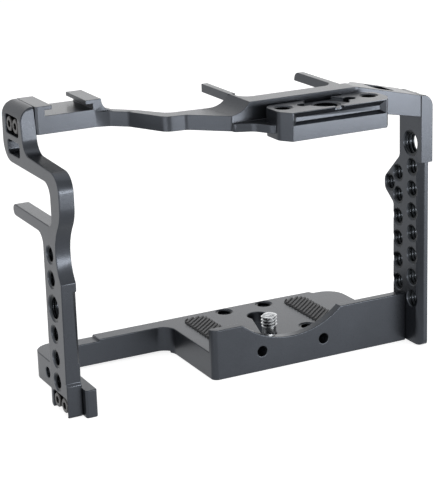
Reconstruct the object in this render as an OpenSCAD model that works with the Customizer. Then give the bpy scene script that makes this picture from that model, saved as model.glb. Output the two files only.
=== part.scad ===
// Camera cage: four machined frames bolted into a ring round a mirrorless camera.
// The origin is the camera screw's axis on the top face of the base plate.
// The lens looks toward -Y and the camera's grip is on the -X side.

/* [Camera bay] */
// Clear width between the grip side arm and the side plate
bay_width = 140.8; // [134:0.2:148]
// Clear height between the base plate and the top plate
bay_height = 87.2; // [84:0.2:92]
// Front to back depth of the shaped arm
arm_depth = 55.2; // [53:0.2:58]

/* [Frames] */
// Thickness of the grip side arm
arm_thickness = 5.8; // [5.2:0.1:7]
// Thickness of the side plate
side_thickness = 5.2; // [4.8:0.1:6.5]
// Thickness of the base plate
base_thickness = 10.6; // [10:0.1:12]
// Full thickness of the top plate
top_thickness = 10.3; // [9.8:0.1:11.5]
// Thickness of the wavy bar behind the camera's grip
bar_thickness = 5.6; // [4.5:0.1:6.5]
// Width of the side plate in its column part
column_width = 19.6; // [19:0.1:21]

/* [Threads] */
// Diameter of the quarter inch threads
quarter_d = 6.35; // [6.2:0.05:6.5]
// Diameter of the three eighths threads
three_eighths_d = 9.53; // [9.2:0.05:9.8]
// Number of holes in the side plate's front column
column_count = 7; // [5:1:7]

/* [Cold shoe] */
// Width of the channel that takes an accessory's foot
shoe_width = 18.6; // [18.4:0.1:19]
// Width of the opening between the two lips
shoe_opening = 13; // [12:0.1:14]
// Height of the channel under the lips
shoe_height = 2.1; // [2:0.05:2.4]
// Thickness of the lips
lip_thickness = 1.5; // [1.2:0.1:1.8]

/* [Strap slots] */
// Length of the slots for a strap
strap_slot_length = 12; // [10:0.5:13]
// Width of the slots for a strap
strap_slot_width = 4.8; // [4.2:0.1:5.4]

/* [Accessory rail] */
// Length of the rail block in front of the bridge
rail_length = 45.4; // [43:0.2:47]
// Depth of the rail block from front to back
rail_depth = 16; // [15:0.1:18]
// Height of the rail block
rail_height = 10.4; // [9.5:0.1:11]
// Depth of the clamping groove along the block's front
groove_depth = 2; // [1.5:0.1:2.4]
// Width of the narrow slot behind the block
slot_width = 2; // [1.6:0.1:2.4]

/* [Base plate] */
// Height of the front lip above the base
lip_height = 9.2; // [8:0.2:12]
// Thickness of the front lip
front_lip = 3.7; // [3.2:0.1:4.2]
// Radius of the lens cut-out in the lip
lens_r = 32.6; // [31:0.2:35]
// Depth of the bar behind the grip cut-out
rear_bar = 6.7; // [6:0.1:8]
// Width of the foot strip beside the arm
foot_width = 4.6; // [4.2:0.1:5.2]

/* [Pads] */
// Width of each ribbed rubber pad
pad_width = 9.8; // [9:0.1:10.5]
// Length of each pad
pad_length = 36; // [34:0.5:37]
// Height of the pads above the base plate
pad_rise = 0.8; // [0.6:0.1:1.2]
// Number of grooves across each pad
groove_count = 15; // [12:1:16]

/* [Camera screw] */
// Diameter of the screw's plain neck
neck_d = 5.6; // [5.2:0.05:5.7]
// Diameter of the screw's head
head_d = 12.5; // [11:0.1:13]
// Height of the screw's tip above the base plate
screw_rise = 8.2; // [7:0.1:9]

/* [Joint screws] */
// Thread diameter of the small socket screws
cap_d = 3; // [2.8:0.1:3.2]
// Head diameter of the small socket screws
cap_head_d = 5.5; // [5.2:0.1:5.8]
// Head height of the small socket screws
cap_head_h = 3; // [2.6:0.1:3.1]
// Length of the small socket screws under the head
cap_length = 7; // [6:0.5:7]

/* [Hidden] */
arc_steps = 7;
round_sides = 64;
cut = bay_height / 40;
play = quarter_d / 80;
pad_play = pad_width / 80;

quarter_r = quarter_d / 2;
three_eighths_r = three_eighths_d / 2;
cap_r = cap_d / 2;
hole_chamfer = quarter_d / 14;

// Places along the bay are shares of its width, depths shares of the arm's depth,
// heights and corner radii shares of the bay's height.
grip_reach = bay_width * 0.6023;
function at_x(share) = share * bay_width - grip_reach;
function at_y(share) = share * arm_depth;
function at_z(share) = share * bay_height;

top_z = bay_height + top_thickness;
bar_z = bay_height + bar_thickness;
arm_x = at_x(0);
side_x = at_x(1);
side_outer = side_x + side_thickness;

// Arm corners as depth share, height share and radius share
arm_front_shares = [
    [-0.287, 0.4591, 0.0115], [-0.1583, 0.578, 0.19], [-0.34, 0.7388, 0.14],
    [-0.34, 0.9175, 0.078], [0.2428, 0.93, 0.0688]];
arm_rear_shares = [
    [0.6304, 0.8647, 0.086], [-0.1848, 0.8647, 0.0573], [-0.1848, 0.684, 0.0413],
    [0.519, 0.684, 0.0252], [0.519, 0.633, 0.0252], [-0.0072, 0.633, 0.05]];
// Bar corners as width share, depth share and radius share
bar_front_shares = [
    [0.1989, 0.2246, 0.0344], [0.2358, 0.1377, 0.0459], [0.2898, -0.1449, 0.0516],
    [0.3452, -0.1612, 0.0344], [0.4318, -0.3696, 0.0172]];
bar_rear_shares = [
    [0.4602, -0.066, 0.0172], [0.3139, -0.0362, 0.0573], [0.2642, 0.1558, 0.0573],
    [0.2031, 0.3116, 0.0459]];

arm_column_y = at_y(-0.1178);
arm_column_shares = [0.5608, 0.4553, 0.219, 0.1112, 0.0092];
arm_large_share = 0.3337;
arm_screw_y = [at_y(0.3841), at_y(0.4946)];
arm_screw_z = at_z(1.0298);
foot_screw_y = [at_y(-0.2083), at_y(-0.0851)];
foot_screw_z = -base_thickness * 0.64;
cap_recess = cap_head_h + cap_d / 15;

base_front = at_y(-0.1812);
base_rear = at_y(0.6377);
bar_front_y = base_rear - rear_bar;
block_left = at_x(0.3935);

column_front = at_y(-0.375);
column_rear = column_front + column_width;
front_holes_y = column_front + quarter_d;
rear_holes_y = column_front + quarter_d * 2.54;
low_hole_z = at_z(0.0929);
high_hole_z = at_z(0.7041);
column_pitch = (high_hole_z - low_hole_z) / (column_count - 1);
head_front = at_y(-0.3696);
head_top = top_z - top_thickness * 0.69;
side_screw_z = at_z(0.992);
side_top_screw_y = [head_front + cap_head_d * 0.8, head_front + cap_head_d * 1.95];
side_low_screws = [[base_front + cap_head_d * 0.54, -base_thickness * 0.71],
                   [base_front + cap_head_d * 1.03, -base_thickness * 0.25]];

shoe_x = at_x(0.0909);
shoe_right = at_x(0.1811);
shoe_front = at_y(0.2536);
shoe_rear = at_y(0.5978);
shoe_floor = top_z - lip_thickness - shoe_height;

bridge_front = head_front;
bridge_top = top_z - top_thickness / 26;
rail_left = at_x(0.5128);
rail_rear = bridge_front - slot_width;
rail_front = rail_rear - rail_depth;
rail_top = bridge_top - top_thickness / 6;
rail_bottom = rail_top - rail_height;
rail_floor = rail_top - rail_height * 0.48;
rail_mid = rail_left + rail_length / 2;
rail_hole_y = rail_rear - rail_depth * 0.39;
seat_deep = rail_height / 10;

slot_end = [at_x(0.6449), at_y(0.3714)];
slot_run = norm(slot_end);
slot_angle = atan2(slot_end.y, slot_end.x);
slot_r = neck_d / 2 + quarter_d / 30;
key_r = quarter_r * 1.36;
head_r = head_d / 2;
flat_share = 0.985;
washer_t = head_d / 20;
head_deep = base_thickness * 0.57;
head_play = head_d / 25;
head_seat_z = head_deep - base_thickness - washer_t - 2 * play;
thread_start = screw_rise * 0.4;

pad_deep = pad_rise * 1.4;
pad_front = base_front + front_lip + pad_width / 12;
pad_x = [at_x(0.4768), at_x(0.797)];
pad_round = pad_width * 0.32;
rib_pitch = pad_length / (groove_count + 0.6);
rib_cut = rib_pitch * 0.36;
rib_deep = pad_rise * 0.65;
relief_deep = base_thickness / 5;
rib_angle = 42;

function unit(v) = v / norm(v);

// Points of one corner b between its neighbours a and c, rounded with radius r
function corner(a, b, c, r) =
    r == 0 ? [b] :
    let (u = unit(a - b), v = unit(c - b))
    let (half = acos(u * v) / 2)
    let (m = b + unit(u + v) * r / sin(half))
    let (s = b + u * r / tan(half) - m, e = b + v * r / tan(half) - m)
    let (first = atan2(s.y, s.x), turn = atan2(s.x * e.y - s.y * e.x, s * e))
    [for (i = [0:arc_steps])
        m + r * [cos(first + turn * i / arc_steps), sin(first + turn * i / arc_steps)]];

// Outline through corners given as x, y and radius
function rounded(p) = [for (i = [0:len(p) - 1])
    let (q = p[i], a = p[(i + len(p) - 1) % len(p)], c = p[(i + 1) % len(p)])
    each corner([a[0], a[1]], [q[0], q[1]], [c[0], c[1]], q[2])];

function side_points(shares) = [for (s = shares) [at_y(s[0]), at_z(s[1]), at_z(s[2])]];
function plan_points(shares) = [for (s = shares) [at_x(s[0]), at_y(s[1]), at_z(s[2])]];

// A profile drawn in depth and height, carried along X
module along_x(from, length)
    translate([from, 0, 0])
        rotate([90, 0, 90])
            linear_extrude(length)
                children();

// A profile drawn in width and height, carried along Y from front to back
module along_y(front, length)
    translate([0, front + length, 0])
        rotate([90, 0, 0])
            linear_extrude(length)
                children();

// A threaded hole along X with a small chamfer at each face
module hole_x(x, length, y, z, r)
    translate([x, y, z])
        rotate([0, 90, 0])
            hole_z(length, r);

// A threaded hole along Z with a small chamfer at each end
module hole_z(length, r) {
    translate([0, 0, -cut])
        cylinder(h = length + 2 * cut, r = r, $fn = round_sides);
    translate([0, 0, -cut])
        cylinder(h = cut + hole_chamfer, r1 = r + cut + hole_chamfer, r2 = r, $fn = round_sides);
    translate([0, 0, length - hole_chamfer])
        cylinder(h = cut + hole_chamfer, r1 = r, r2 = r + cut + hole_chamfer, $fn = round_sides);
}

// One small socket screw, its head's top toward +Z, the seat at z = 0
module cap_screw()
    difference() {
        union() {
            cylinder(h = cap_head_h - cap_d / 10, r = cap_head_d / 2, $fn = round_sides);
            translate([0, 0, cap_head_h - cap_d / 10])
                cylinder(h = cap_d / 10, r1 = cap_head_d / 2, r2 = cap_head_d / 2 - cap_d / 10,
                         $fn = round_sides);
            translate([0, 0, -cap_length])
                cylinder(h = cap_length, r = cap_r, $fn = round_sides);
        }
        translate([0, 0, cap_head_h * 0.45])
            cylinder(h = cap_head_h, r = cap_d * 0.48, $fn = 6);
    }

// Room for one small screw, head and shank, seat at z = 0
module cap_screw_hole()
    translate([0, 0, -cap_length - cap_d / 3])
        cylinder(h = cap_length + cap_d / 3 + cut, r = cap_r + play, $fn = round_sides);

module arm_screw(y, z)
    translate([arm_x - arm_thickness + cap_recess, y, z])
        rotate([0, -90, 0])
            children();

module side_screw(y, z)
    translate([side_outer - cap_recess, y, z])
        rotate([0, 90, 0])
            children();

module arm_profile()
    polygon(rounded(concat(
        [[at_y(-0.2808), -base_thickness, at_z(0.0115)],
         [at_y(-0.2808), at_z(0.0172), at_z(0.0092)],
         [at_y(-0.271), at_z(0.0287), at_z(0.0092)]],
        side_points(arm_front_shares),
        [[at_y(0.2808), top_z, at_z(0.0115)],
         [at_y(0.6159), top_z, at_z(0.0229)]],
        side_points(arm_rear_shares),
        [[at_y(0.0127), -base_thickness, at_z(0.0172)]])));

module grip_side_arm()
    color("#2b2d31")
        difference() {
            along_x(arm_x - arm_thickness, arm_thickness)
                arm_profile();
            // Chamfer along the inner front edge of the lower column
            translate([0, 0, at_z(0.11)])
                linear_extrude(at_z(0.31))
                    polygon([[arm_x - arm_thickness * 0.26, at_y(-0.3)],
                             [arm_x - arm_thickness * 0.26, at_y(-0.2844)],
                             [arm_x, at_y(-0.259)],
                             [arm_x + cut, at_y(-0.259)],
                             [arm_x + cut, at_y(-0.3)]]);
            // Rounded outer top corner
            along_y(at_y(0.1), at_y(0.6))
                difference() {
                    translate([arm_x - arm_thickness - cut, top_z - arm_thickness * 0.95])
                        square([cut + arm_thickness * 0.95, cut + arm_thickness * 0.95]);
                    translate([arm_x - arm_thickness * 0.05, top_z - arm_thickness * 0.95])
                        circle(r = arm_thickness * 0.95, $fn = round_sides);
                }
            for (share = arm_column_shares)
                hole_x(arm_x - arm_thickness, arm_thickness, arm_column_y, at_z(share), quarter_r);
            hole_x(arm_x - arm_thickness, arm_thickness, at_y(-0.13), at_z(arm_large_share),
                   three_eighths_r);
            // Shallow seats of the joint screws
            along_x(arm_x - arm_thickness - cut, cut + cap_recess)
                polygon(rounded([
                    [at_y(0.325), at_z(0.987), cap_d / 2], [at_y(0.555), at_z(0.987), cap_d / 2],
                    [at_y(0.555), at_z(1.0685), cap_d / 2], [at_y(0.325), at_z(1.0685), cap_d / 2]]));
            along_x(arm_x - arm_thickness - cut, cut + cap_recess)
                polygon(rounded([
                    [at_y(-0.269), -base_thickness - cut, 0], [at_y(-0.0245), -base_thickness - cut, 0],
                    [at_y(-0.0245), -base_thickness / 3, cap_d / 2],
                    [at_y(-0.269), -base_thickness / 3, cap_d / 2]]));
            for (y = arm_screw_y)
                arm_screw(y, arm_screw_z)
                    cap_screw_hole();
            for (y = foot_screw_y)
                arm_screw(y, foot_screw_z)
                    cap_screw_hole();
            // Strap slot
            translate([0, at_y(0.4255), at_z(0.932)])
                along_x(arm_x - arm_thickness - cut, arm_thickness + 2 * cut)
                    polygon(rounded([for (k = [[-1, -1], [1, -1], [1, 1], [-1, 1]])
                        [k.x * strap_slot_length / 2, k.y * strap_slot_width * 0.55,
                         cap_d / 2]]));
        }

// Outline of the side plate in depth and height
module side_profile()
    polygon(rounded([
        [column_front, -base_thickness * 0.96, at_z(0.03)],
        [column_rear, -base_thickness * 0.96, at_z(0.0172)],
        [column_rear, at_z(0.5069), at_z(0.0229)],
        [column_rear + quarter_d, at_z(0.562), at_z(0.0367)],
        [column_rear + quarter_d, at_z(0.615), at_z(0.0367)],
        [column_rear - quarter_d * 0.69, at_z(0.735), at_z(0.0344)],
        [column_rear - quarter_d * 0.69, head_top, at_z(0.0115)],
        [column_front, head_top, 0]]));

module side_plate()
    color("#2b2d31")
        difference() {
            along_x(side_x, side_thickness)
                side_profile();
            // Chamfers along the front of the column
            translate([0, 0, -base_thickness - cut])
                linear_extrude(base_thickness + cut + at_z(0.735)) {
                    polygon([[side_x - cut, column_front - cut],
                             [side_x + side_thickness * 0.29, column_front - cut],
                             [side_x + side_thickness * 0.29, column_front],
                             [side_x, column_front + side_thickness * 0.65],
                             [side_x - cut, column_front + side_thickness * 0.65]]);
                    polygon([[side_outer + cut, column_front - cut],
                             [side_outer - side_thickness * 0.38, column_front - cut],
                             [side_outer - side_thickness * 0.38, column_front],
                             [side_outer, column_front + side_thickness * 0.76],
                             [side_outer + cut, column_front + side_thickness * 0.76]]);
                }
            // Rounded outer top corner
            along_y(column_front - cut, column_width + 2 * cut)
                difference() {
                    translate([side_x + side_thickness * 0.1, head_top - side_thickness * 0.9])
                        square(cut + side_thickness * 0.9);
                    translate([side_x + side_thickness * 0.1, head_top - side_thickness * 0.9])
                        circle(r = side_thickness * 0.9, $fn = round_sides);
                }
            for (i = [0:column_count - 1])
                hole_x(side_x, side_thickness, front_holes_y, low_hole_z + i * column_pitch, quarter_r);
            for (i = [0:column_count - 2])
                hole_x(side_x, side_thickness, rear_holes_y, low_hole_z + (i + 0.5) * column_pitch,
                       quarter_r);
            hole_x(side_x, side_thickness, rear_holes_y + quarter_d * 0.9, at_z(0.595), quarter_r);
            hole_x(side_x, side_thickness, column_front + three_eighths_r * 1.54, at_z(0.8085),
                   three_eighths_r);
            // Seats of the joint screws
            along_x(side_outer - cap_recess, cut + cap_recess) {
                for (y = side_top_screw_y)
                    translate([y, side_screw_z])
                        circle(r = cap_head_d * 0.52, $fn = round_sides);
                for (p = side_low_screws)
                    translate(p)
                        circle(r = cap_head_d * 0.52, $fn = round_sides);
            }
            for (y = side_top_screw_y)
                side_screw(y, side_screw_z)
                    cap_screw_hole();
            for (p = side_low_screws)
                side_screw(p[0], p[1])
                    cap_screw_hole();
        }

// Plan of the wavy bar, the bridge and the shoulder
module bar_plan()
    polygon(rounded(concat(
        [[at_x(0.165), shoe_front, 0]],
        plan_points(bar_front_shares),
        [[side_x, bridge_front, 0], [side_x, at_y(-0.075), 0],
         [at_x(0.8487), at_y(-0.075), at_z(0.0573)], [at_x(0.809), at_y(-0.2174), at_z(0.023)],
         [at_x(0.492), at_y(-0.2174), at_z(0.0573)], [at_x(0.492), at_y(-0.058), 0]],
        plan_points(bar_rear_shares),
        [[at_x(0.165), at_y(0.335), 0]])));

// Front view of the bar, the ramp, the bridge and the sloping shoulder
module bar_front_view()
    polygon(rounded([
        [at_x(0.165), bay_height, 0], [at_x(0.815), bay_height, at_z(0.115)],
        [side_x, bay_height - top_thickness * 0.495, 0],
        [side_x, head_top, 0],
        [at_x(0.8011), bridge_top, at_z(0.08)], [at_x(0.4844), bridge_top, at_z(0.0034)],
        [at_x(0.4605), bar_z, (bridge_top - bar_z) * 2.2], [at_x(0.165), bar_z, 0]]));

module shoe_block()
    difference() {
        translate([0, 0, bay_height])
            linear_extrude(top_thickness)
                polygon([[arm_x + lip_thickness / 2, shoe_front], [shoe_right, shoe_front],
                         [shoe_right, shoe_rear], [arm_x, shoe_rear],
                         [arm_x, shoe_front + lip_thickness / 2]]);
        translate([shoe_x - shoe_width / 2, shoe_front - cut, shoe_floor])
            cube([shoe_width, shoe_rear - shoe_front + 2 * cut, shoe_height]);
        translate([shoe_x - shoe_opening / 2, shoe_front - cut, shoe_floor])
            cube([shoe_opening, shoe_rear - shoe_front + 2 * cut, top_thickness]);
    }

// Fillet between the shoe block and the top of the bar
module shoe_fillet()
    along_y(shoe_front, at_y(0.085))
        difference() {
            translate([shoe_right - cut, bar_z - cut])
                square(cut + at_z(0.05));
            translate([shoe_right + at_z(0.05), bar_z + at_z(0.05)])
                circle(r = at_z(0.05), $fn = round_sides);
        }

module prongs() {
    // Left prong behind the ramp
    translate([at_x(0.4834), at_y(-0.08), bridge_top - top_thickness * 0.31])
        cube([at_x(0.5018) - at_x(0.4834), at_y(0.41), top_thickness * 0.31]);
    // Right prong with its rounded end and its root fillet
    along_x(at_x(0.7656), at_x(0.7848) - at_x(0.7656))
        polygon(rounded([
            [at_y(-0.24), bridge_top - top_thickness * 0.34, 0],
            [at_y(0.325), bridge_top - top_thickness * 0.34, 0],
            [at_y(0.325), bridge_top, top_thickness * 0.29],
            [at_y(-0.24), bridge_top, 0]]));
    translate([0, 0, bridge_top - top_thickness * 0.34])
        linear_extrude(top_thickness * 0.34)
            difference() {
                translate([at_x(0.7656) - at_z(0.0561), at_y(-0.2174) - cut])
                    square([at_z(0.0561) + cut, at_z(0.0561) + cut]);
                translate([at_x(0.7656) - at_z(0.0561), at_y(-0.2174) + at_z(0.0561)])
                    circle(r = at_z(0.057), $fn = round_sides);
            }
}

module rail_plan()
    polygon(rounded([
        [rail_left, rail_front + rail_depth * 0.28, rail_depth * 0.25],
        [rail_left + rail_length * 0.07, rail_front, rail_depth * 0.04],
        [rail_left + rail_length * 0.93, rail_front, rail_depth * 0.04],
        [rail_left + rail_length, rail_front + rail_depth * 0.28, rail_depth * 0.25],
        [rail_left + rail_length, rail_rear - rail_depth * 0.13, rail_depth * 0.22],
        [rail_left + rail_length * 0.88, rail_rear, rail_depth * 0.04],
        [rail_left + rail_length * 0.88, bridge_front + cut / 2, 0],
        [rail_left + rail_depth * 0.3, bridge_front + cut / 2, 0],
        [rail_left + rail_depth * 0.3, rail_rear - slot_width / 10, 0],
        [rail_left, rail_rear - slot_width / 10, rail_depth * 0.22]]));

module rail_block()
    difference() {
        union() {
            translate([0, 0, rail_bottom])
                linear_extrude(rail_height)
                    rail_plan();
            // Low web that blends the block into the ramp
            translate([0, 0, bay_height])
                linear_extrude(rail_floor - rail_height * 0.02 - bay_height)
                    polygon(rounded([
                        [at_x(0.43), bridge_front + cut / 2, 0],
                        [at_x(0.433), bridge_front - rail_depth * 0.1, rail_depth * 0.1],
                        [at_x(0.478), bridge_front - rail_depth * 0.28, rail_depth * 0.3],
                        [rail_left - rail_length * 0.02, rail_front + rail_depth * 0.4,
                         rail_depth * 0.3],
                        [rail_left + rail_depth * 0.36, rail_front + rail_depth * 0.3, 0],
                        [rail_left + rail_depth * 0.36, bridge_front + cut / 2, 0]]));
        }
        // Narrow slot behind the block, open toward the ramp
        translate([rail_left - cut, rail_rear, rail_floor])
            cube([rail_length * 0.73 + cut, slot_width * 1.03, rail_height]);
        // Clamping groove along the front, its ends run out on a slant
        intersection() {
            along_x(rail_left, rail_length)
                polygon([[rail_front - cut, rail_top],
                         [rail_front, rail_top - rail_height * 0.01],
                         [rail_front + groove_depth, rail_top - rail_height * 0.22],
                         [rail_front + groove_depth, rail_top - rail_height * 0.37],
                         [rail_front, rail_top - rail_height * 0.46],
                         [rail_front - cut, rail_top - rail_height * 0.46]]);
            translate([0, 0, rail_bottom])
                linear_extrude(rail_height + cut)
                    polygon([[rail_left + rail_length * 0.06, rail_front - cut],
                             [rail_left + rail_length * 0.08, rail_front],
                             [rail_left + rail_length * 0.14, rail_front + groove_depth + cut / 4],
                             [rail_left + rail_length * 0.88, rail_front + groove_depth + cut / 4],
                             [rail_left + rail_length * 0.92, rail_front],
                             [rail_left + rail_length * 0.94, rail_front - cut]]);
        }
        // Threaded holes and the two locating holes beside the large one
        for (share = [-0.391, 0.391])
            translate([rail_mid + share * rail_length, rail_hole_y, rail_bottom])
                hole_z(rail_height, quarter_r);
        translate([rail_mid, rail_hole_y, rail_bottom])
            hole_z(rail_height - seat_deep, three_eighths_r);
        // Shallow round seat about the large hole
        translate([rail_mid, rail_hole_y, rail_top - seat_deep])
            cylinder(h = seat_deep + cut, r = three_eighths_r * 1.74, $fn = round_sides);
        for (share = [-0.2115, 0.2115])
            translate([rail_mid + share * rail_length, rail_hole_y, rail_top - rail_height * 0.4])
                cylinder(h = rail_height, r = quarter_r * 0.72, $fn = round_sides);
        // Small index notch at the front edge
        translate([rail_mid - cap_d / 2, rail_front - cut, rail_top - cap_d / 2])
            cube([cap_d, cut + cap_d / 2, cap_d]);
    }

// Strap slot through the sloping shoulder, long way from front to back
module shoulder_slot()
    translate([at_x(0.905), at_y(-0.2156), bay_height - top_thickness])
        linear_extrude(2 * top_thickness)
            polygon(rounded([for (k = [[-1, -1], [1, -1], [1, 1], [-1, 1]])
                [k.x * strap_slot_width * 0.85, k.y * strap_slot_length * 0.46,
                 strap_slot_width * 0.4]]));

module top_plate()
    color("#2f3136")
        difference() {
            union() {
                shoe_block();
                shoe_fillet();
                intersection() {
                    translate([0, 0, bay_height - top_thickness])
                        linear_extrude(top_thickness * 2)
                            bar_plan();
                    along_y(rail_front, shoe_rear - rail_front)
                        bar_front_view();
                }
                prongs();
                rail_block();
            }
            shoulder_slot();
            for (y = arm_screw_y)
                arm_screw(y, arm_screw_z)
                    cap_screw_hole();
            for (y = side_top_screw_y)
                side_screw(y, side_screw_z)
                    cap_screw_hole();
        }

module base_plan()
    polygon(rounded([
        [block_left, base_front, front_lip * 0.65],
        [side_x, base_front, 0],
        [side_x, column_rear, 0],
        [at_x(0.9489), column_rear + foot_width / 4, at_z(0.046)],
        [at_x(0.9489), at_y(0.593), at_z(0.092)],
        [at_x(0.8764), at_y(0.6), at_z(0.0115)],
        [at_x(0.8707), base_rear, at_z(0.0115)],
        [arm_x, base_rear, rear_bar * 1.1],
        [arm_x, at_y(-0.337), at_z(0.0115)],
        [arm_x + foot_width, at_y(-0.337), at_z(0.0115)],
        [arm_x + foot_width, bar_front_y, at_z(0.0344)],
        [block_left, bar_front_y, at_z(0.0631)]]));

module slot_shape(r, end_r) {
    circle(r = r, $fn = round_sides);
    translate(slot_end)
        circle(r = end_r, $fn = round_sides);
    rotate(slot_angle)
        translate([0, -r * flat_share])
            square([slot_run, 2 * r * flat_share]);
}

// Plan of a pad, its rear corners rounded, grown all round by room
module pad_plan(room)
    polygon(rounded([
        [-pad_width / 2 - room, -room, 0],
        [pad_width / 2 + room, -room, 0],
        [pad_width / 2 + room, pad_length + room, pad_round + room],
        [-pad_width / 2 - room, pad_length + room, pad_round + room]]));

module base_plate()
    color("#303237")
        difference() {
            union() {
                translate([0, 0, -base_thickness])
                    linear_extrude(base_thickness)
                        base_plan();
                // Front lip with the round lens cut-out
                intersection() {
                    linear_extrude(lip_height)
                        base_plan();
                    along_y(base_front - cut, front_lip + cut)
                        difference() {
                            translate([block_left, 0])
                                square([side_x - block_left, lip_height]);
                            translate([at_x(0.6364), lens_r + lip_height * 0.13])
                                circle(r = lens_r, $fn = round_sides * 2);
                        }
                }
            }
            // Keyhole slot and the room for the screw's head below it
            translate([0, 0, -base_thickness])
                linear_extrude(base_thickness + cut)
                    slot_shape(slot_r, key_r);
            translate([0, 0, -base_thickness - cut])
                linear_extrude(cut + head_deep)
                    slot_shape(head_r + head_play, head_r + head_play);
            // Quarter inch holes
            for (share = [0.5774, 0.706])
                translate([at_x(share), at_y(0.5707), -base_thickness])
                    hole_z(base_thickness, quarter_r);
            translate([at_x(0.7237), 0, -base_thickness])
                hole_z(base_thickness, quarter_r);
            // Blind relief at the foot of the lip
            intersection() {
                translate([at_x(0.638), base_front + front_lip * 0.2, -relief_deep])
                    cylinder(h = relief_deep + cut, r = three_eighths_r, $fn = round_sides);
                translate([at_x(0.5), base_front + front_lip * 1.04, -relief_deep])
                    cube([at_x(0.8) - at_x(0.5), three_eighths_d, relief_deep + cut]);
            }
            // Two blind holes in the front face
            for (share = [0.5426, 0.7337])
                translate([at_x(share), base_front - cut, -base_thickness * 0.25])
                    rotate([-90, 0, 0])
                        cylinder(h = cut + front_lip * 1.6, r = quarter_r * 0.64, $fn = round_sides);
            // Pocket for each pad
            for (x = pad_x)
                translate([x, pad_front, -pad_deep])
                    linear_extrude(pad_deep + cut)
                        pad_plan(pad_play);
            // Lowered part of the rear bar
            translate([arm_x + foot_width * 1.9, bar_front_y - cut, -base_thickness / 13])
                cube([at_x(0.1797) - arm_x - foot_width * 1.9, rear_bar + 2 * cut, base_thickness]);
            // Relief under the rear bar
            translate([arm_x + foot_width * 1.05, bar_front_y - cut, -base_thickness - cut])
                cube([block_left - arm_x - foot_width * 1.1, rear_bar * 0.9 + cut,
                      cut + base_thickness / 16]);
            // Blind hole in the foot's outer face
            translate([arm_x - cut, at_y(0.337), -base_thickness * 0.48])
                rotate([0, 90, 0])
                    cylinder(h = cut + foot_width + rear_bar, r = quarter_r * 0.66, $fn = round_sides);
            for (y = foot_screw_y)
                arm_screw(y, foot_screw_z)
                    cap_screw_hole();
            for (p = side_low_screws)
                side_screw(p[0], p[1])
                    cap_screw_hole();
        }

// Rubber pad with slanting grooves across its top
module pad(x)
    difference() {
        translate([x, pad_front, -pad_deep])
            linear_extrude(pad_deep + pad_rise)
                pad_plan(0);
        for (i = [-2:groove_count + 2])
            translate([x, pad_front + (i + 0.3) * rib_pitch, pad_rise - rib_deep])
                rotate(rib_angle)
                    translate([-pad_width, -rib_cut / 2, 0])
                        cube([2 * pad_width, rib_cut, pad_rise]);
    }

module left_pad()
    color("#1c1d1f")
        pad(pad_x[0]);

module right_pad()
    color("#1c1d1f")
        pad(pad_x[1]);

module camera_screw()
    color("#c9cccf")
        difference() {
            union() {
                translate([0, 0, thread_start])
                    cylinder(h = screw_rise - thread_start - quarter_d / 10, r = quarter_r,
                             $fn = round_sides);
                translate([0, 0, screw_rise - quarter_d / 10])
                    cylinder(h = quarter_d / 10, r1 = quarter_r, r2 = quarter_r * 0.8,
                             $fn = round_sides);
                translate([0, 0, head_seat_z - play])
                    cylinder(h = thread_start - head_seat_z + 2 * play, r = neck_d / 2,
                             $fn = round_sides);
                translate([0, 0, -base_thickness + head_play])
                    cylinder(h = head_seat_z + base_thickness - head_play, r = head_r,
                             $fn = round_sides);
            }
            // Coin slot in the head
            translate([-head_d, -quarter_r / 4, -base_thickness])
                cube([2 * head_d, quarter_r / 2, head_play + quarter_r / 1.6]);
        }

// Plain washer between the screw's head and the plate, it slides along with the screw
module screw_washer()
    color("#a9acb0")
        translate([0, 0, head_seat_z + play])
            difference() {
                cylinder(h = washer_t, r = head_r * 0.97, $fn = round_sides);
                translate([0, 0, -cut])
                    cylinder(h = washer_t + 2 * cut, r = neck_d / 2 + play, $fn = round_sides);
            }

module arm_top_front_screw()
    color("#1e1f22")
        arm_screw(arm_screw_y[0], arm_screw_z)
            cap_screw();

module arm_top_rear_screw()
    color("#1e1f22")
        arm_screw(arm_screw_y[1], arm_screw_z)
            cap_screw();

module arm_bottom_front_screw()
    color("#1e1f22")
        arm_screw(foot_screw_y[0], foot_screw_z)
            cap_screw();

module arm_bottom_rear_screw()
    color("#1e1f22")
        arm_screw(foot_screw_y[1], foot_screw_z)
            cap_screw();

module side_top_front_screw()
    color("#1e1f22")
        side_screw(side_top_screw_y[0], side_screw_z)
            cap_screw();

module side_top_rear_screw()
    color("#1e1f22")
        side_screw(side_top_screw_y[1], side_screw_z)
            cap_screw();

module side_bottom_front_screw()
    color("#1e1f22")
        side_screw(side_low_screws[0][0], side_low_screws[0][1])
            cap_screw();

module side_bottom_rear_screw()
    color("#1e1f22")
        side_screw(side_low_screws[1][0], side_low_screws[1][1])
            cap_screw();

top_plate();
grip_side_arm();
side_plate();
base_plate();
left_pad();
right_pad();
camera_screw();
screw_washer();
arm_top_front_screw();
arm_top_rear_screw();
arm_bottom_front_screw();
arm_bottom_rear_screw();
side_top_front_screw();
side_top_rear_screw();
side_bottom_front_screw();
side_bottom_rear_screw();
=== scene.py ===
# The looks of a camera cage: four machined aluminium frames round a camera's place.
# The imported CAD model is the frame; everything here is in metres in its axes.
import bpy, bmesh, math
from mathutils import Matrix, Vector


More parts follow.
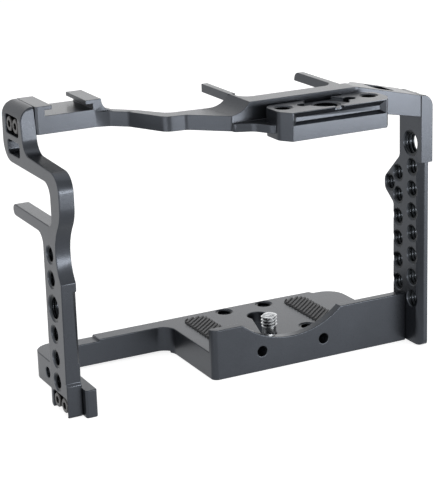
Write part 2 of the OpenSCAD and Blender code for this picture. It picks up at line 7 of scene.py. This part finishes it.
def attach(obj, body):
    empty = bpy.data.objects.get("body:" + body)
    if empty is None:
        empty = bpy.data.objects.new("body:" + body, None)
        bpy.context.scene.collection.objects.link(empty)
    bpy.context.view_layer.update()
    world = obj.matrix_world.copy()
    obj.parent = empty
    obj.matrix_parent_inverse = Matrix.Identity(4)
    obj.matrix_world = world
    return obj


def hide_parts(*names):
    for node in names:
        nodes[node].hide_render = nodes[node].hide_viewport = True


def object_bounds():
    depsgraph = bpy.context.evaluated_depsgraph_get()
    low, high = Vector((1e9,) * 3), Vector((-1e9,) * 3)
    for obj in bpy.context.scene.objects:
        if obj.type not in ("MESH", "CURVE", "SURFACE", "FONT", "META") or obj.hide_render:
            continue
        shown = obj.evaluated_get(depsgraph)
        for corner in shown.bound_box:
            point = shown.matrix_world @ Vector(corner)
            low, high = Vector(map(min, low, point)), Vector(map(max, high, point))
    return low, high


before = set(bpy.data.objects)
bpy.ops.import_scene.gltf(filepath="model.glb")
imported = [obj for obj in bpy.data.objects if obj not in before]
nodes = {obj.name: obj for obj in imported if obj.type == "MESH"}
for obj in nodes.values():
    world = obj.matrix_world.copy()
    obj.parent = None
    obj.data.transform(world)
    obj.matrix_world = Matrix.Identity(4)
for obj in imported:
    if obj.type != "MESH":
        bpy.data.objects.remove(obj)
cad_box = [list(corner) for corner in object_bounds()]

# Machined frames: solid aluminium, milled, finely blasted and anodised black.
# The blast leaves a satin sheen that runs along the faces, the broken edges
# catch a thin light line, and the dye leaves the colour slightly cloudy.
MM = 0.001


def linear(hex_colour):
    """An sRGB hex colour as linear RGB."""
    channels = [int(hex_colour[i:i + 2], 16) / 255 for i in (1, 3, 5)]
    return [c / 12.92 if c <= 0.04045 else ((c + 0.055) / 1.055) ** 2.4 for c in channels]


def add_node(tree, kind, settings=None, inputs=None):
    """A new node in the tree; inputs are values, or sockets to link from."""
    node = tree.nodes.new(kind)
    for name, value in (settings or {}).items():
        setattr(node, name, value)
    for name, value in (inputs or {}).items():
        if isinstance(value, bpy.types.NodeSocket):
            tree.links.new(value, node.inputs[name])
        else:
            node.inputs[name].default_value = value
    return node


def new_material(name):
    """An empty node material with its output, its Principled shader and Object coordinates."""
    material = bpy.data.materials.new(name)
    material.use_nodes = True
    tree = material.node_tree
    tree.nodes.clear()
    shader = add_node(tree, "ShaderNodeBsdfPrincipled")
    add_node(tree, "ShaderNodeOutputMaterial", inputs={"Surface": shader.outputs["BSDF"]})
    return material, tree, shader, add_node(tree, "ShaderNodeTexCoord").outputs["Object"]


def tint(tree, shader, colour, shade):
    """Gives the shader its colour, made lighter or darker by the shade."""
    scaled = add_node(tree, "ShaderNodeVectorMath", {"operation": "SCALE"},
                      {"Vector": linear(colour), "Scale": shade})
    tree.links.new(scaled.outputs["Vector"], shader.inputs["Base Color"])


def anodised_aluminium(name, colour, roughness, metallic):
    """Blasted and black anodised: a satin sheen, a fine grain and a cloudy dye."""
    material, tree, shader, place = new_material(name)
    # The real blast grain is about 0.05 mm, and it is drawn at 0.3 mm, so that it can be seen
    grain = add_node(tree, "ShaderNodeTexNoise",
                     inputs={"Vector": place, "Scale": 1 / (0.3 * MM), "Detail": 2.0, "Roughness": 0.6})
    # The dye is uneven over about 22 mm
    cloud = add_node(tree, "ShaderNodeTexNoise",
                     inputs={"Vector": place, "Scale": 1 / (22 * MM), "Detail": 3.0})
    shade = add_node(tree, "ShaderNodeMapRange",
                     inputs={"Value": cloud.outputs["Fac"], "From Min": 0.3, "From Max": 0.7,
                             "To Min": 0.92, "To Max": 1.08})
    tint(tree, shader, colour, shade.outputs["Result"])
    rough = add_node(tree, "ShaderNodeMapRange",
                     inputs={"Value": grain.outputs["Fac"], "From Min": 0.3, "From Max": 0.7,
                             "To Min": roughness - 0.04, "To Max": roughness + 0.05})
    tree.links.new(rough.outputs["Result"], shader.inputs["Roughness"])
    bump = add_node(tree, "ShaderNodeBump",
                    inputs={"Height": grain.outputs["Fac"], "Strength": 0.12, "Distance": 0.02 * MM})
    tree.links.new(bump.outputs["Normal"], shader.inputs["Normal"])
    shader.inputs["Metallic"].default_value = metallic
    return material


# A node group that shades arcs smooth and keeps every corner sharper than 34 degrees
smoothing = bpy.data.node_groups.new("smooth_by_angle", "GeometryNodeTree")
for direction in ("INPUT", "OUTPUT"):
    smoothing.interface.new_socket("Geometry", in_out=direction, socket_type="NodeSocketGeometry")
bare = add_node(smoothing, "NodeGroupInput")
edge_angle = add_node(smoothing, "GeometryNodeInputMeshEdgeAngle")
in_arc = add_node(smoothing, "FunctionNodeCompare", {"data_type": "FLOAT", "operation": "LESS_EQUAL"},
                  {0: edge_angle.outputs["Unsigned Angle"], 1: math.radians(34)})
smooth_faces = add_node(smoothing, "GeometryNodeSetShadeSmooth", {"domain": "FACE"},
                        {"Geometry": bare.outputs["Geometry"], "Shade Smooth": True})
smooth_arcs = add_node(smoothing, "GeometryNodeSetShadeSmooth", {"domain": "EDGE"},
                       {"Geometry": smooth_faces.outputs["Geometry"], "Shade Smooth": in_arc.outputs["Result"]})
add_node(smoothing, "NodeGroupOutput", inputs={"Geometry": smooth_arcs.outputs["Geometry"]})


def smooth(piece):
    """Shades the piece smooth over its arcs."""
    piece.modifiers.new("smooth_by_angle", "NODES").node_group = smoothing


def dress(node_name, material, edge=0.0, weld=0.002 * MM):
    """Gives a CAD node its material, smooth rounds and, where asked, a fine broken edge.

    The weld joins the node's loose triangles, and is wider where slivers would spoil the edge.
    """
    node = nodes[node_name]
    node.data.materials.clear()
    node.data.materials.append(material)
    node.modifiers.new("weld", "WELD").merge_threshold = weld
    if edge:
        bevel = node.modifiers.new("broken edge", "BEVEL")
        bevel.width = edge
        bevel.segments = 3
        bevel.limit_method = "ANGLE"
        bevel.angle_limit = math.radians(50)
        bevel.loop_slide = False
        bevel.use_clamp_overlap = False
        bevel.face_strength_mode = "FSTR_ALL"
    smooth(node)
    if edge:
        even = node.modifiers.new("even shading", "WEIGHTED_NORMAL")
        even.keep_sharp = True
        even.use_face_influence = True


frame_black = anodised_aluminium("satin_black_anodised_aluminium", "#373a3f", 0.31, 0.85)
dress("top_plate", frame_black, 0.18 * MM, 0.08 * MM)
dress("grip_side_arm", frame_black, 0.4 * MM, 0.08 * MM)
dress("side_plate", frame_black, 0.25 * MM, 0.02 * MM)
dress("base_plate", frame_black, 0.35 * MM)


# Threads in the frames' holes: tapped after milling, so the ridges wind right-handed
# from just inside each chamfer. Their flanks are a little glossier than the faces, and their
# colour is darker: painted shade for the dark inside of the holes.
def thread(form, foot, axis, root, crest, pitch, length, per_turn=40):
    """Adds a ridge to the form, screwed along axis and faced off at both ends. In mm.

    Its section is a V with a flat crest, nearly a pitch wide at the root.
    """
    axis, foot = Vector(axis), Vector(foot)
    out = axis.orthogonal().normalized()
    ridge = bmesh.new()
    profile = [ridge.verts.new((foot + out * radius + axis * pitch * (along - 0.5)) * MM)
               for radius, along in ((root, -0.46), (crest, -0.08), (crest, 0.08), (root, 0.46))]
    outline = [ridge.edges.new((profile[k - 1], profile[k])) for k in range(4)]
    steps = round((length / pitch + 1) * per_turn)
    bmesh.ops.spin(ridge, geom=profile + outline, cent=foot * MM, axis=axis, steps=steps,
                   angle=math.tau * steps / per_turn, dvec=axis * pitch / per_turn * MM)
    for place, facing in ((foot, -axis), (foot + axis * length, axis)):
        cut_off(ridge, place * MM, facing)
    join(form, ridge)


def cut_off(form, place, facing):
    """Cuts the form at a plane, takes away what the plane faces, and closes the cut."""
    bmesh.ops.bisect_plane(form, geom=form.verts[:] + form.edges[:] + form.faces[:], dist=1e-8,
                           plane_co=place, plane_no=facing, clear_outer=True)
    bmesh.ops.holes_fill(form, edges=[edge for edge in form.edges if edge.is_boundary])


def join(form, part):
    """Moves the part's faces into the form."""
    carrier = bpy.data.meshes.new("carrier")
    part.to_mesh(carrier)
    part.free()
    form.from_mesh(carrier)
    bpy.data.meshes.remove(carrier)


def make_object(name, form, material):
    """Turns the built form into an object of that name and material."""
    mesh = bpy.data.meshes.new(name)
    form.to_mesh(mesh)
    form.free()
    mesh.materials.append(material)
    made = bpy.data.objects.new(name, mesh)
    bpy.context.collection.objects.link(made)
    return made


def finish_piece(name, form, material, body):
    """Turns the built form into a smooth piece that rides a body of the frame."""
    bmesh.ops.recalc_face_normals(form, faces=form.faces)
    piece = make_object(name, form, material)
    smooth(piece)
    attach(piece, body)
    return piece


# A darker colour than the frames': painted shade for the inside of the holes
shaded_thread_black = anodised_aluminium("tapped_black_anodised_aluminium", "#1f2225", 0.28, 0.9)
# Radius and pitch in mm: 20 and 16 turns to the inch
QUARTER, THREE_EIGHTHS = (3.175, 1.27), (4.765, 1.5875)
# Each hole: its thread, the middle of its mouth and its depth, in mm
arm_face, arm_depth, arm_line = -90.604, 5.8, -6.503
arm_holes = [(QUARTER, (arm_face, arm_line, z), arm_depth) for z in (48.902, 39.702, 19.097, 9.697, 0.802)]
arm_holes += [(THREE_EIGHTHS, (arm_face, -7.176, 29.099), arm_depth)]
side_face, side_depth, side_pitch = 55.996, 5.2, 8.8828
side_holes = [(QUARTER, (side_face, y, lowest + side_pitch * k), side_depth)
              for y, lowest, count in ((-14.35, 8.101, 7), (-4.571, 12.542, 6)) for k in range(count)]
side_holes += [(QUARTER, (side_face, 1.144, 51.884), side_depth),
               (THREE_EIGHTHS, (side_face, -13.362, 70.501), side_depth)]
base_depth = 10.6
base_holes = [(QUARTER, (x, y, -base_depth), base_depth)
              for x, y in ((-3.506, 31.503), (14.601, 31.503), (17.093, 0.0))]
rail_foot, rail_line = 84.987, -28.642
top_holes = [(QUARTER, (x, rail_line, rail_foot), 10.4) for x in (-7.653, 27.850)]
top_holes += [(THREE_EIGHTHS, (10.098, rail_line, rail_foot), 9.36)]
ALONG, UPWARD = Vector((1, 0, 0)), Vector((0, 0, 1))
chamfer = 0.4
sunk = 0.03
for name, holes, axis, slot in (("arm_threads", arm_holes, ALONG, "side_frames"),
                                ("side_threads", side_holes, ALONG, "side_frames"),
                                ("base_threads", base_holes, UPWARD, "base_frame"),
                                ("top_threads", top_holes, UPWARD, "top_frame")):
    form = bmesh.new()
    for (radius, pitch), mouth, depth in holes:
        # The ridge starts and ends at the chamfers, and its root is sunk into the wall
        thread(form, Vector(mouth) + axis * chamfer, axis, radius + sunk, radius - 0.48 * pitch, pitch,
               depth - 2 * chamfer)
    finish_piece(name, form, shaded_thread_black, "cage")


# Ribbed pads: moulded black rubber strips glued into shallow pockets of the base.
# They keep the camera from turning on its screw, and have a dry, dusty sheen.
rubber, rubber_tree, rubber_shader, rubber_place = new_material("moulded_black_rubber")
# The moulded grain is about 0.1 mm, and it is drawn at 0.4 mm
rubber_grain = add_node(rubber_tree, "ShaderNodeTexNoise",
                        inputs={"Vector": rubber_place, "Scale": 1 / (0.4 * MM), "Detail": 3.0})
rubber_bump = add_node(rubber_tree, "ShaderNodeBump",
                       inputs={"Height": rubber_grain.outputs["Fac"], "Strength": 0.3, "Distance": 0.03 * MM})
rubber_tree.links.new(rubber_bump.outputs["Normal"], rubber_shader.inputs["Normal"])
rubber_shade = add_node(rubber_tree, "ShaderNodeMapRange",
                        inputs={"Value": rubber_grain.outputs["Fac"], "To Min": 0.85, "To Max": 1.15})
tint(rubber_tree, rubber_shader, "#2c2d30", rubber_shade.outputs["Result"])
rubber_shader.inputs["Roughness"].default_value = 0.68
rubber_shader.inputs["Sheen Weight"].default_value = 0.15
for name in ("left_pad", "right_pad"):
    dress(name, rubber, 0.1 * MM)


# Camera screw and washer: turned stainless steel, left bright.
# The screw has a quarter inch thread above, a plain neck, and a coin-slotted head under the plate.
crest, root, neck, head_radius = 3.12, 2.44, 2.8, 6.25
head_foot, slot_roof, head_top, thread_foot, thread_end, tip = -10.1, -8.1, -5.45, 3.3, 7.5, 8.2
coin_slot = 1.6

steel, steel_tree, steel_shader, steel_place = new_material("turned_stainless_steel")
# The turning marks run round the axis, coarser than real ones
marks_per_mm = 6.6
stretched = add_node(steel_tree, "ShaderNodeMapping", None,
                     {"Vector": steel_place, "Scale": (40, 40, marks_per_mm / MM)})
turning = add_node(steel_tree, "ShaderNodeTexNoise",
                   inputs={"Vector": stretched.outputs["Vector"], "Scale": 1.0, "Detail": 1.0})
steel_rough = add_node(steel_tree, "ShaderNodeMapRange",
                       inputs={"Value": turning.outputs["Fac"], "To Min": 0.14, "To Max": 0.3})
steel_tree.links.new(steel_rough.outputs["Result"], steel_shader.inputs["Roughness"])
marks = add_node(steel_tree, "ShaderNodeMapRange",
                 inputs={"Value": turning.outputs["Fac"], "To Min": 0.9, "To Max": 1.04})
# Painted shade darkens the thread's root, and leaves its crest and the plain lengths bright
across = add_node(steel_tree, "ShaderNodeVectorMath", {"operation": "MULTIPLY"},
                  {0: steel_place, 1: (1, 1, 0)})
from_axis = add_node(steel_tree, "ShaderNodeVectorMath", {"operation": "LENGTH"}, {0: across.outputs["Vector"]})
root_painted_shade = add_node(steel_tree, "ShaderNodeMapRange",
                 inputs={"Value": from_axis.outputs["Value"], "From Min": 2.45 * MM, "From Max": 2.7 * MM,
                         "To Min": 0.15, "To Max": 1.0})
height = add_node(steel_tree, "ShaderNodeSeparateXYZ", inputs={"Vector": steel_place})
threaded = add_node(steel_tree, "ShaderNodeMath", {"operation": "COMPARE"},
                    {0: height.outputs["Z"], 1: 5.2 * MM, 2: 2.2 * MM})
plain = add_node(steel_tree, "ShaderNodeMath", {"operation": "SUBTRACT"},
                 {0: 1.0, 1: threaded.outputs["Value"]})
root_shade_in_thread = add_node(steel_tree, "ShaderNodeMath", {"operation": "MAXIMUM"},
                 {0: root_painted_shade.outputs["Result"], 1: plain.outputs["Value"]})
# The turning marks, darkened by the painted shade in the thread's root
marks_and_root_shade = add_node(steel_tree, "ShaderNodeMath", {"operation": "MULTIPLY"},
                       {0: marks.outputs["Result"], 1: root_shade_in_thread.outputs["Value"]})
tint(steel_tree, steel_shader, "#b4b6b8", marks_and_root_shade.outputs["Value"])
steel_shader.inputs["Metallic"].default_value = 1.0
dress("screw_washer", steel, 0.08 * MM)


def turned(profile, sides=64):
    """A form turned round the screw's axis from its outline, given as (radius, height) in mm."""
    form = bmesh.new()
    points = [form.verts.new((radius * MM, 0, height * MM)) for radius, height in profile]
    lines = [form.edges.new(pair) for pair in zip(points, points[1:])]
    bmesh.ops.spin(form, geom=points + lines, cent=(0, 0, 0), axis=(0, 0, 1), angle=math.tau, steps=sides,
                   use_merge=True)
    bmesh.ops.remove_doubles(form, verts=form.verts, dist=0.001 * MM)
    return form


form = turned([(0, slot_roof), (head_radius, slot_roof), (head_radius, head_top - 0.3),
               (head_radius - 0.3, head_top), (neck, head_top), (neck, thread_foot - 0.1),
               (root, thread_foot + 0.25), (root, thread_end - 0.2), (2.2, 7.75), (1.6, 8.08), (0, tip)])
head_half = turned([(0, head_foot), (head_radius - 0.45, head_foot), (head_radius, head_foot + 0.4),
                    (head_radius, slot_roof), (0, slot_roof)])
cut_off(head_half, (0, coin_slot / 2 * MM, 0), (0, -1, 0))
bmesh.ops.mirror(head_half, geom=head_half.verts[:] + head_half.edges[:] + head_half.faces[:], axis="Y")
join(form, head_half)
thread(form, (0, 0, thread_foot), (0, 0, 1), root - 0.04, crest, QUARTER[1], thread_end - thread_foot, 48)
camera_screw = finish_piece("turned_camera_screw", form, steel, "camera_screw")
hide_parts("camera_screw")


# Joint screws: small socket cap screws of hardened steel with a black oxide finish.
# They are satin, a little browner than the anodised frames.
oxide, oxide_tree, oxide_shader, oxide_place = new_material("black_oxide_steel")
# The oxide is mottled over about 0.4 mm
oxide_grain = add_node(oxide_tree, "ShaderNodeTexNoise",
                       inputs={"Vector": oxide_place, "Scale": 1 / (0.4 * MM), "Detail": 2.0})
oxide_rough = add_node(oxide_tree, "ShaderNodeMapRange",
                       inputs={"Value": oxide_grain.outputs["Fac"], "To Min": 0.26, "To Max": 0.42})
oxide_tree.links.new(oxide_rough.outputs["Result"], oxide_shader.inputs["Roughness"])
oxide_shade = add_node(oxide_tree, "ShaderNodeMapRange",
                       inputs={"Value": oxide_grain.outputs["Fac"], "To Min": 0.85, "To Max": 1.15})
tint(oxide_tree, oxide_shader, "#323131", oxide_shade.outputs["Result"])
oxide_shader.inputs["Metallic"].default_value = 0.85
for name in nodes:
    if name.endswith("_screw") and name != "camera_screw":
        dress(name, oxide, 0.12 * MM)


# Floor: a plain pale sweep under the cage, as in a catalogue picture.
# It shows white to the camera, and keeps the cage's shadow.
def seen_rays(tree, others, seen):
    """One value for camera, reflected and refracted rays, and another for the rest."""
    rays = add_node(tree, "ShaderNodeLightPath")
    mirror = add_node(tree, "ShaderNodeMath", {"operation": "MAXIMUM"},
                      {0: rays.outputs["Is Glossy Ray"], 1: rays.outputs["Is Transmission Ray"]})
    either = add_node(tree, "ShaderNodeMath", {"operation": "MAXIMUM"},
                      {0: rays.outputs["Is Camera Ray"], 1: mirror.outputs["Value"]})
    strength = add_node(tree, "ShaderNodeMapRange",
                        inputs={"Value": either.outputs["Value"], "To Min": others, "To Max": seen})
    return strength.outputs["Result"]


floor_paint = bpy.data.materials.new("pale_floor")
floor_paint.use_nodes = True
floor_tree = floor_paint.node_tree
floor_tree.nodes.clear()
floor_paper = add_node(floor_tree, "ShaderNodeBsdfDiffuse", inputs={"Color": (0.6, 0.6, 0.6, 1)})
floor_glow = add_node(floor_tree, "ShaderNodeEmission",
                      inputs={"Color": (1, 1, 1, 1), "Strength": seen_rays(floor_tree, 0.0, 0.8)})
floor_both = add_node(floor_tree, "ShaderNodeAddShader",
                      inputs={0: floor_paper.outputs["BSDF"], 1: floor_glow.outputs["Emission"]})
add_node(floor_tree, "ShaderNodeOutputMaterial", inputs={"Surface": floor_both.outputs["Shader"]})
form = bmesh.new()
bmesh.ops.create_grid(form, x_segments=1, y_segments=1, size=3.0,
                      matrix=Matrix.Translation((0, 0, cad_box[0][2])))
make_object("floor", form, floor_paint)


# World: a white room. The camera and every reflection see it at full white,
# and it gives only a little of the diffuse light.
world = bpy.data.worlds.new("white_room")
bpy.context.scene.world = world
world.use_nodes = True
world_tree = world.node_tree
world_tree.nodes.clear()
sky = add_node(world_tree, "ShaderNodeBackground",
               inputs={"Color": (1, 1, 1, 1), "Strength": seen_rays(world_tree, 0.35, 1.0)})
add_node(world_tree, "ShaderNodeOutputWorld", inputs={"Surface": sky.outputs["Background"]})


# Lamps: soft boxes, most of them low, because satin faces show a lamp where they mirror it.
# The one behind glances off the top faces, and three in front light the upright faces;
# a weak one stands at either side, and a large weak one hangs above.
def soft_box(name, place, target, size, watts):
    """A rectangular lamp at a place, turned towards its target."""
    lamp = bpy.data.lights.new(name, "AREA")
    lamp.shape = "RECTANGLE"
    lamp.size, lamp.size_y = size
    lamp.energy = watts
    holder = bpy.data.objects.new(name, lamp)
    bpy.context.collection.objects.link(holder)
    aim = (Vector(target) - Vector(place)).to_track_quat("-Z", "Y")
    holder.matrix_world = Matrix.Translation(place) @ aim.to_matrix().to_4x4()


for name, place, target, size, watts in (
        ("top_box", (0.0, 0.1, 0.75), (-0.01, 0.0, 0.04), (0.9, 0.7), 1.6),
        ("back_box", (0.42, 0.8, 0.22), (0.0, 0.0, 0.08), (0.8, 0.2), 0.6),
        ("low_front_box", (0.28, -0.53, 0.05), (0.0, -0.02, 0.08), (0.4, 0.12), 3.4),
        ("front_left_box", (-0.46, -0.3, 0.06), (-0.02, -0.02, 0.08), (0.35, 0.12), 0.75),
        ("far_front_box", (0.0, -0.7, 0.06), (0.0, -0.02, 0.05), (0.3, 0.12), 0.45),
        ("left_box", (-0.36, 0.05, 0.12), (-0.09, 0.0, 0.05), (0.3, 0.25), 0.2),
        ("right_box", (0.6, -0.2, 0.12), (0.05, -0.02, 0.05), (0.3, 0.25), 1.2)):
    soft_box(name, place, target, size, watts)


# Camera: the photograph's place and lens, found from the sizes of the standard threads.
# It looks along forward, and the roll turns the level right and up about that line.
# Both lengths of the lens are in pixels of the photograph.
picture_width, focal_length = 435, 1696
camera_place = Vector((-0.2917, -0.5445, 0.2261))
yaw, pitch, roll = (math.radians(a) for a in (26.42, 17.17, -1.86))
forward = Vector((math.sin(yaw) * math.cos(pitch), math.cos(yaw) * math.cos(pitch), -math.sin(pitch)))
level_right = Vector((math.cos(yaw), -math.sin(yaw), 0))
level_up = level_right.cross(forward)
right = math.cos(roll) * level_right + math.sin(roll) * level_up
up = -math.sin(roll) * level_right + math.cos(roll) * level_up
lens = bpy.data.cameras.new("camera")
lens.sensor_fit = "HORIZONTAL"
lens.lens = focal_length / picture_width * lens.sensor_width
lens.clip_start = 0.05
camera = bpy.data.objects.new("camera", lens)
bpy.context.collection.objects.link(camera)
camera.matrix_world = Matrix((
    (right.x, up.x, -forward.x, camera_place.x),
    (right.y, up.y, -forward.y, camera_place.y),
    (right.z, up.z, -forward.z, camera_place.z),
    (0, 0, 0, 1)))
bpy.context.scene.camera = camera
bpy.context.scene.view_settings.view_transform = "Standard"
